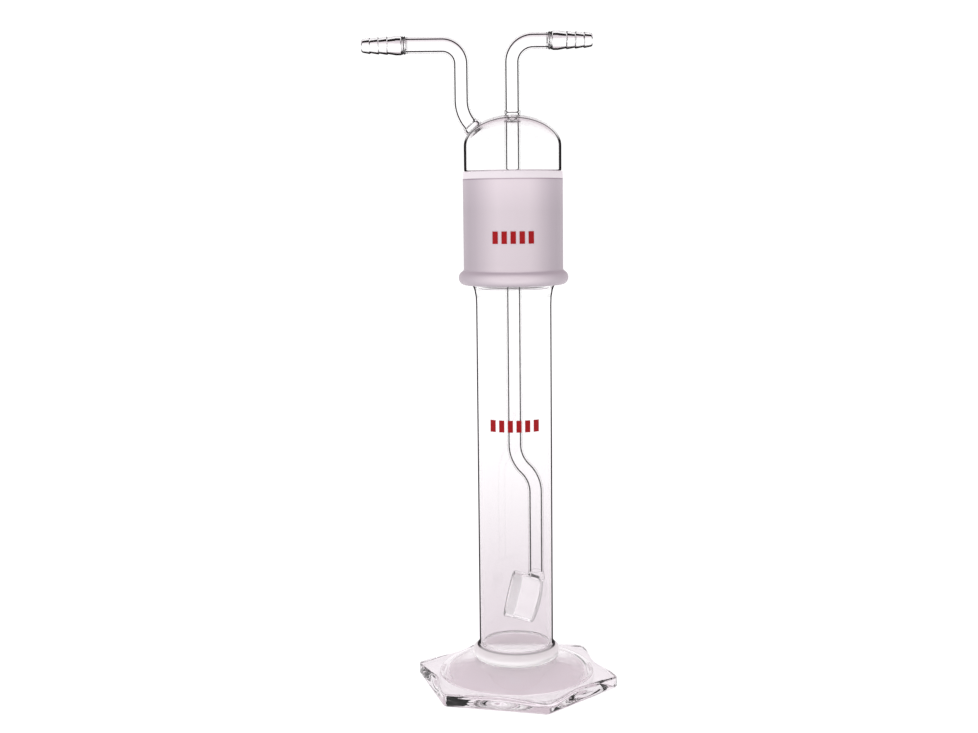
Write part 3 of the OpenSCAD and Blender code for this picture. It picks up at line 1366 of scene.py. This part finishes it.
@dataclass
class HoseBarb:
    """A drawn, serrated hose barb, measured from its inner end towards its tip."""

    length: float = 19.8
    base_r: float = 4.7
    tip_r: float = 3.7
    land: float = 2.6
    teeth: int = 4
    step: float = 0.45
    arm_r: float = 4.0
    arm_bore: float = 2.8
    bore: float = 2.0
    weld_len: float = 2.0
    weld_swell: float = 0.55

    def outer(self, from_base: np.ndarray) -> np.ndarray:
        """Works out the outside of the barb, and of the weld and the arm before it.

        Args:
            from_base: distances from the barb's inner end; the weld's are negative.

        Returns:
            The outer radius at each distance.
        """
        pitch = (self.length - self.land) / self.teeth
        knots = [(-0.15, self.arm_r + 0.2), (0.15, self.base_r), (self.land, self.base_r)]
        for i in range(self.teeth):
            start = self.base_r - (self.base_r - self.tip_r) * i / self.teeth
            end = self.base_r - (self.base_r - self.tip_r) * (i + 1) / self.teeth
            knots.append((self.land + i * pitch + 0.2, start))
            knots.append((self.land + (i + 1) * pitch - 0.1, end - self.step))
        knots[-1] = (self.length - 0.5, knots[-1][1])
        knots.append((self.length, knots[-1][1] - 0.4))
        at, radius = np.array(knots).T
        barb = np.interp(from_base, at, radius)
        beads = (0.5, 1.5)
        swell = sum(np.exp(-(((from_base + bead) / 0.3) ** 2)) for bead in beads)
        arm = self.arm_r + self.weld_swell * swell
        return np.where(from_base < -0.15, arm, barb)

    def inner(self, from_base: np.ndarray) -> np.ndarray:
        """Works out the bore of the arm and the barb.

        Args:
            from_base: distances from the barb's inner end.

        Returns:
            The bore's radius at each distance.
        """
        return np.interp(
            from_base,
            [-self.weld_len - 1.0, -self.weld_len + 0.6],
            [self.arm_bore, self.bore],
        )


@dataclass
class Arms:
    """The dome of the head and the two bent arms that leave it."""

    barb: HoseBarb
    dome_wall: float = 2.0
    spring_z: float = 275.0
    rise: float = 15.5
    seal_r: float = 4.3
    inlet_bend: float = 10.4
    outlet_bend: float = 9.3
    outlet_x: float = -25.3
    outlet_upright_z: float = 297.6
    outlet_low_bend: float = 18.07
    outlet_turn: float = 41.8
    ring_r: float = 4.8
    ring_len: float = 3.5
    dome_gap: float = 0.03
    fine_step: float = 0.15
    coarse_step: float = 2.5

    def dome_line(self, radius: float, rise: float) -> list[Point]:
        """Draws the dome from the crown's hole down to its straight wall.

        Args:
            radius: the radius of the straight wall.
            rise: the height of the crown above it.

        Returns:
            The outline's points.
        """
        start = math.acos((self.seal_r + 0.04) / radius)
        return [
            (radius * math.cos(a), self.spring_z + rise * math.sin(a))
            for a in np.linspace(start, 0, 40)
        ]

    def build_dome(self, looks: Looks) -> bpy.types.Object:
        """Builds the domed shoulder, its lower end thickened where it was fused.

        Args:
            looks: the materials.

        Returns:
            The dome.
        """
        low, high = span("head_dome")
        radius, bottom = high.x, low.z + 0.02
        bore = radius - self.dome_wall
        outside = self.dome_line(radius, self.rise)
        inside = self.dome_line(bore, self.rise - self.dome_wall)[::-1]
        foot = [
            (radius, bottom, 0.9),
            (bore - 0.25, bottom, 0.9),
            (bore, bottom + 2.5, 1.5),
        ]
        turn = round_corners([outside[-1], *foot, inside[0]])[1:-1]
        line = densify(outside + turn, 3.0) + densify(inside, 3.0)
        mesh = revolve("head_dome_glass", line, 256)
        for face in mesh.polygons:
            if face.center.dot(face.normal) < self.spring_z * MM * face.normal.z:
                face.material_index = 1
        dome = place("head_dome_glass", mesh)
        way = self.outlet_way()
        inner_end, ahead = way.points[0], way.heading[0]
        start, end = tuple(inner_end - 6 * ahead), tuple(inner_end + 4 * ahead)
        hole = Route.straight(start, end, 2.0)
        drill = tube("drill", hole, constant(self.barb.arm_bore), None)
        carve(dome, place("drill", drill), "DIFFERENCE")
        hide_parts("head_dome")
        return dress(dome, Body.HEAD, Slot.CLEAR, looks.dome, looks.inside)

    def outlet_way(self) -> Route:
        """Lays the outlet's lower run.

        Returns:
            The run from inside the dome's wall to the upright stretch.
        """
        centre = (self.outlet_x + self.outlet_low_bend, self.outlet_upright_z)
        low = Route.bend(centre, self.outlet_low_bend, 180 + self.outlet_turn, 180.0)
        start = low.points[0] - self.ring_len * low.heading[0]
        lead = Route.straight(tuple(start), tuple(low.points[0]), 0.3)
        return lead.then(low)

    def level_way(
        self, route: Route, start: Point, base_x: float, tip_x: float
    ) -> Route:
        """Adds an arm's level stretch and its barb, whose points are close together.

        Args:
            route: the arm up to the end of its upper bend.
            start: where that bend ends.
            base_x: where the barb starts.
            tip_x: where it ends.

        Returns:
            The whole arm.
        """
        level = start[1]
        near = base_x - math.copysign(self.barb.weld_len + 1.5, tip_x)
        route = route.then(Route.straight(start, (near, level), self.coarse_step))
        return route.then(
            Route.straight((near, level), (tip_x, level), self.fine_step)
        )

    def build_outlet(self, looks: Looks) -> bpy.types.Object:
        """Builds the outlet arm from its ring on the dome to the tip of its barb.

        Args:
            looks: the materials.

        Returns:
            The arm.
        """
        low, high = span("outlet_hose_barb")
        level, base_x, tip_x = (low.z + high.z) / 2, high.x, low.x
        turn_z = level - self.outlet_bend
        foot, head = (self.outlet_x, self.outlet_upright_z), (self.outlet_x, turn_z)
        centre = (self.outlet_x - self.outlet_bend, turn_z)
        route = self.outlet_way().then(Route.straight(foot, head, self.coarse_step))
        route = route.then(Route.bend(centre, self.outlet_bend, 0.0, 90.0))
        route = self.level_way(route, (centre[0], level), base_x, tip_x)
        total = route.lengths()[-1]

        def outer(s: np.ndarray) -> np.ndarray:
            """Works out the weld ring at the dome, then the arm, then the barb.

            Args:
                s: distances along the arm.

            Returns:
                The outer radius at each distance.
            """
            body = self.barb.outer(s - total + self.barb.length)
            fade = 1 / (1 + np.exp((s - self.ring_len + 0.1) / 0.16))
            return body + (self.ring_r - self.barb.arm_r) * fade

        def inner(s: np.ndarray) -> np.ndarray:
            """The bore of the arm and the barb."""
            return self.barb.inner(s - total + self.barb.length)

        arm = place("outlet_arm_glass", tube("outlet_arm_glass", route, outer, inner))
        radius, rise = span("head_dome")[1].x + self.dome_gap, self.rise + self.dome_gap
        dome = [
            (radius * math.cos(a), self.spring_z + rise * math.sin(a))
            for a in np.linspace(math.pi / 2, 0, 46)
        ]
        base_z = 262.0
        line = [(0.0, self.spring_z + rise), *dome[1:], (radius, base_z), (0.0, base_z)]
        solid = revolve("dome_tool", line, 256, False)
        carve(arm, place("dome_tool", solid), "DIFFERENCE")
        mark_barb(arm.data, base_x, self.barb.weld_len)
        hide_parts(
            "outlet_weld_ring", "outlet_tube", "outlet_weld", "outlet_hose_barb"
        )
        return self.finish(arm, looks)

    def finish(self, arm: bpy.types.Object, looks: Looks) -> bpy.types.Object:
        """Gives an arm the finishes of its outside, its bore, its barb and its weld."""
        glass = (looks.tubing, looks.inside, looks.barb, looks.weld)
        return dress(arm, Body.HEAD, Slot.CLEAR, *glass)

    def build_inlet(self, looks: Looks) -> bpy.types.Object:
        """Builds the inlet arm from the ring seal to the tip of its barb.

        Args:
            looks: the materials.

        Returns:
            The arm.
        """
        low, high = span("inlet_hose_barb")
        level, base_x, tip_x = (low.z + high.z) / 2, low.x, high.x
        seal_top = span("ring_seal")[1].z
        turn_z = level - self.inlet_bend
        route = Route.straight((0.0, seal_top), (0.0, turn_z), self.coarse_step)
        centre = (self.inlet_bend, turn_z)
        route = route.then(Route.bend(centre, self.inlet_bend, 180.0, 90.0))
        route = self.level_way(route, (centre[0], level), base_x, tip_x)
        total = route.lengths()[-1]
        arm = place(
            "inlet_arm_glass",
            tube(
                "inlet_arm_glass",
                route,
                lambda s: self.barb.outer(s - total + self.barb.length),
                lambda s: self.barb.inner(s - total + self.barb.length),
            ),
        )
        mark_barb(arm.data, base_x, self.barb.weld_len)
        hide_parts("inlet_tube", "inlet_weld", "inlet_hose_barb")
        return self.finish(arm, looks)


@dataclass
class DipTube:
    """The dip tube from the ring seal to the frit, with its sideways jog."""

    radius: float = 4.0
    bore: float = 2.8
    jog_top: float = 124.5
    jog_bottom: float = 99.5
    seal_r: float = 4.26
    seam: float = 0.03

    def build(self, looks: Looks) -> bpy.types.Object:
        """Builds the dip tube with the ring seal at its head.

        Args:
            looks: the materials.

        Returns:
            The dip tube.
        """
        seal_low, seal_high = span("ring_seal")
        weld_top = span("frit_weld")[1].z
        offset = span("dip_tube_offset")[1].x - self.radius
        drop = self.jog_top - self.jog_bottom
        turn = 2 * math.atan(offset / drop)
        bend_r = drop / (2 * math.sin(turn))
        start = (0.0, seal_high.z - self.seam)
        below_seal = (0.0, seal_low.z - 1.5)
        route = Route.straight(start, below_seal, 0.2)
        route = route.then(Route.straight(below_seal, (0.0, self.jog_top), 4.0))
        turn_deg = math.degrees(turn)
        upper = Route.bend((bend_r, self.jog_top), bend_r, 180.0, 180.0 + turn_deg)
        lower = Route.bend((offset - bend_r, self.jog_bottom), bend_r, turn_deg, 0.0)
        route = route.then(upper).then(lower)
        end = (offset, weld_top + self.seam)
        route = route.then(Route.straight((offset, self.jog_bottom), end, 4.0))
        seal_len = seal_high.z - seal_low.z

        def outer(s: np.ndarray) -> np.ndarray:
            """Works out the ring seal's swell, with a groove at each of its ends, and the tube.

            Args:
                s: distances along the tube.

            Returns:
                The outer radius at each distance.
            """
            swell = 1 / (1 + np.exp((s - seal_len) / 0.08))
            middles = (seal_len * 0.22, seal_len * 0.8)
            grooves = sum(np.exp(-(((s - middle) / 0.28) ** 2)) for middle in middles)
            return self.radius + (self.seal_r - self.radius) * swell - 0.3 * grooves

        pipe = place(
            "dip_tube_glass",
            tube("dip_tube_glass", route, outer, constant(self.bore)),
        )
        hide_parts("ring_seal", "dip_tube", "dip_tube_offset")
        return dress(pipe, Body.HEAD, Slot.CLEAR, looks.tubing, looks.inside)


@dataclass
class Frit:
    """The tilted chamber under the dip tube and the porous disc that closes it."""

    radius: float = 12.0
    wall: float = 1.4
    length: float = 15.6
    end_rise: float = 1.1
    corner: float = 1.4
    tilt: float = 14.0
    centre: Point = (3.8, 44.8)
    tube_x: float = 10.5
    tube_r: float = 4.0
    bore: float = 2.8
    weld_z: float = 58.6
    disc_inset: float = 0.6
    disc_t: float = 4.4
    disc_gap: float = 0.05
    pit_depth: float = 0.07

    def stand(self, mesh: bpy.types.Mesh) -> bpy.types.Mesh:
        """Lays a mesh made along +Z from the frit end onto the chamber's tilted axis."""
        mesh.transform(self.axis())
        return mesh

    def axis(self) -> Matrix:
        """Works out where the chamber's axis lies.

        Returns:
            The move, in metres, from +Z with the frit end at the origin onto the axis.
        """
        x, z = self.centre
        middle = Matrix.Translation((x * MM, 0, z * MM))
        turn = Matrix.Rotation(math.radians(90 + self.tilt), 4, "Y")
        return middle @ turn @ Matrix.Translation((0, 0, -self.length / 2 * MM))

    def chamber_line(self, radius: float, length: float, corner: float) -> list[Point]:
        """Draws a chamber from its side to the middle of its domed end.

        Args:
            radius: the chamber's radius.
            length: its length up to the edge of the domed end.
            corner: the radius between the side and that end.

        Returns:
            The outline's points.
        """
        arc = [
            (
                radius - corner + corner * math.cos(a),
                length - corner + corner * math.sin(a),
            )
            for a in np.linspace(0, math.pi / 2 * 0.94, 8)
        ]
        face = [
            ((radius - corner) * t, length + self.end_rise * (1 - t * t))
            for t in np.linspace(0.96, 0, 12)
        ]
        return arc + face

    def build_chamber(self, looks: Looks) -> bpy.types.Object:
        """Builds the chamber with the swelled weld under the dip tube.

        Args:
            looks: the materials.

        Returns:
            The chamber.
        """
        outside = [(0.0, 0.0), (self.radius - 0.5, 0.0, 0.3), (self.radius, 0.5, 0.3)]
        outside += self.chamber_line(self.radius, self.length, self.corner)
        line = round_corners(outside)
        chamber = place(
            "frit_chamber_glass",
            self.stand(revolve("frit_chamber_glass", densify(line, 2.0), 160, False)),
        )
        top = self.weld_z
        weld_line = [
            (0.0, top),
            (self.tube_r, top),
            (self.tube_r + 0.3, top - 2.2),
            (self.tube_r + 0.4, top - 4.0),
            (self.tube_r + 0.1, top - 5.4),
            (self.tube_r - 0.6, top - 6.8),
            (0.0, top - 7.4),
        ]
        weld = revolve("weld_tool", densify(round_corners(weld_line), 1.0), 96, False)
        weld.transform(Matrix.Translation((self.tube_x * MM, 0, 0)))
        carve(chamber, place("weld_tool", weld), "UNION")
        inner_r = self.radius - self.wall
        room = [(0.0, -1.0), (inner_r, -1.0)]
        room += self.chamber_line(inner_r, self.length - self.wall, 0.7)
        inside = self.stand(revolve("room_tool", densify(room, 2.0), 160, False))
        carve(chamber, place("room_tool", inside), "DIFFERENCE")
        drill = Route.straight((self.tube_x, top - 6.2), (self.tube_x, top + 1), 2.0)
        hole = tube("hole_tool", drill, constant(self.bore), None, 48)
        carve(chamber, place("hole_tool", hole), "DIFFERENCE")
        home = self.axis().inverted()
        # The empty part of the chamber takes a painted white glow.
        for face in chamber.data.polygons:
            at = (home @ face.center) / MM
            empty = self.disc_inset + self.disc_t < at.z < self.length - 0.25
            if empty and at.xy.length < inner_r + self.disc_gap:
                face.material_index = 1
        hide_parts("frit_chamber", "frit_weld")
        return dress(chamber, Body.HEAD, Slot.CLEAR, looks.chamber, looks.lining)

    def build_disc(self, looks: Looks) -> bpy.types.Object:
        """Builds the porous disc, its faces pitted by the grains.

        Args:
            looks: the materials.

        Returns:
            The disc.
        """
        radius = self.radius - self.wall - self.disc_gap
        low, high = self.disc_inset, self.disc_inset + self.disc_t
        line = [(0.0, low), (radius, low, 0.4), (radius, high, 0.4), (0.0, high)]
        mesh = revolve("frit_disc_porous", densify(round_corners(line), 0.6), 128, False)
        rng = np.random.default_rng(7)
        for vertex in mesh.vertices:
            pit = rng.uniform(-self.pit_depth, 0.0) * MM
            vertex.co += Vector(vertex.normal) * pit
        disc = place("frit_disc_porous", self.stand(mesh))
        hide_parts("frit_disc")
        return dress(disc, Body.HEAD, Slot.SINTERED, looks.frit)


@dataclass
class Marks:
    """The fired enamel marks, which are the CAD's own bars with an enamel finish."""

    names: tuple[str, ...] = ("joint_mark", "capacity_mark")

    def dress(self, nodes: dict, looks: Looks) -> None:
        """Gives the marks their enamel.

        Args:
            nodes: the frame's objects by node name.
            looks: the materials.
        """
        for name in self.names:
            for slot in nodes[name].material_slots:
                slot.material = looks.enamel
            LOG.info("%s has its enamel", name)


# ---- studio ----


@dataclass
class Studio:
    """Pale floor, soft light and the camera."""

    camera_at: tuple[float, float, float] = (0.0, -696.6, 246.7)
    tilt_deg: float = 6.724
    yaw_deg: float = 1.053
    roll_deg: float = -0.573
    focal: float = 1382.0
    sensor: float = 36.0
    floor_half: float = 4.0
    floor_drop: float = 0.2
    world_strength: float = 1.1
    surround: Stops = ((0.0, "FFFFFF"), (0.2, "FFFFFF"), (0.46, "D9CDD3"), (1.0, "CFC4CB"))
    softbox_at: tuple[float, float, float] = (-0.9, -1.0, 1.1)
    softbox_aim: tuple[float, float, float] = (0.0, 0.0, 0.15)
    softbox_size: tuple[float, float] = (0.9, 1.2)
    softbox_energy: float = 4.0

    def build_camera(self) -> None:
        """Adds the camera."""
        data = bpy.data.cameras.new("camera")
        data.sensor_width = self.sensor
        data.lens = self.sensor * self.focal / IMAGE_WIDTH
        data.clip_start, data.clip_end = 0.05, 50.0
        camera = bpy.data.objects.new("camera", data)
        camera.location = Vector(self.camera_at) * MM
        yaw = Matrix.Rotation(math.radians(self.yaw_deg), 3, "Z")
        pitch = Matrix.Rotation(math.radians(90 - self.tilt_deg), 3, "X")
        roll = Matrix.Rotation(math.radians(self.roll_deg), 3, "Z")
        camera.rotation_euler = (yaw @ pitch @ roll).to_euler()
        bpy.context.scene.collection.objects.link(camera)
        bpy.context.scene.camera = camera

    def build_floor(self) -> None:
        """Adds the floor, which isn't part of the object."""
        shape = bmesh.new()
        bmesh.ops.create_grid(shape, x_segments=8, y_segments=8, size=self.floor_half)
        mesh = bpy.data.meshes.new("studio_floor")
        shape.to_mesh(mesh)
        shape.free()
        mesh.materials.append(StudioPaper().build())
        floor = place("studio_floor", mesh)
        floor.location.z = -self.floor_drop * MM

    def build_light(self) -> None:
        """Adds the white surround, darker overhead, and a soft light from the front left."""
        scene = bpy.context.scene
        scene.view_settings.view_transform = "Standard"
        world = bpy.data.worlds.new("studio_white")
        scene.world = world
        world.use_nodes = True
        tree = world.node_tree
        tree.nodes.clear()
        where = add_node(tree, "ShaderNodeTexCoord").outputs["Generated"]
        height = add_node(tree, "ShaderNodeSeparateXYZ", links={0: where})
        ramp = add_node(tree, "ShaderNodeValToRGB", links={"Fac": height.outputs["Z"]})
        fill_ramp(ramp, self.surround)
        back = add_node(
            tree,
            "ShaderNodeBackground",
            values={"Strength": self.world_strength},
            links={"Color": ramp.outputs["Color"]},
        )
        add_node(tree, "ShaderNodeOutputWorld", links={"Surface": back.outputs[0]})
        data = bpy.data.lights.new("softbox", "AREA")
        data.shape = "RECTANGLE"
        data.size, data.size_y = self.softbox_size
        data.energy = self.softbox_energy
        light = bpy.data.objects.new("softbox", data)
        light.location = self.softbox_at
        aim = Vector(self.softbox_aim) - light.location
        light.rotation_euler = aim.to_track_quat("-Z", "Y").to_euler()
        scene.collection.objects.link(light)


def main() -> None:
    """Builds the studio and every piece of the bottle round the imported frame."""
    logging.basicConfig(level=logging.INFO, format="%(message)s")
    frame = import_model()
    studio = Studio()
    studio.build_camera()
    studio.build_floor()
    studio.build_light()
    looks = Looks.make()
    Bottle().build(looks)
    joint = Joint()
    joint.build_cone(looks)
    joint.build_sleeve(looks)
    arms = Arms(HoseBarb())
    arms.build_dome(looks)
    arms.build_inlet(looks)
    arms.build_outlet(looks)
    DipTube().build(looks)
    frit = Frit()
    frit.build_chamber(looks)
    frit.build_disc(looks)
    Marks().dress(frame["nodes"], looks)


if __name__ == "__main__":
    main()
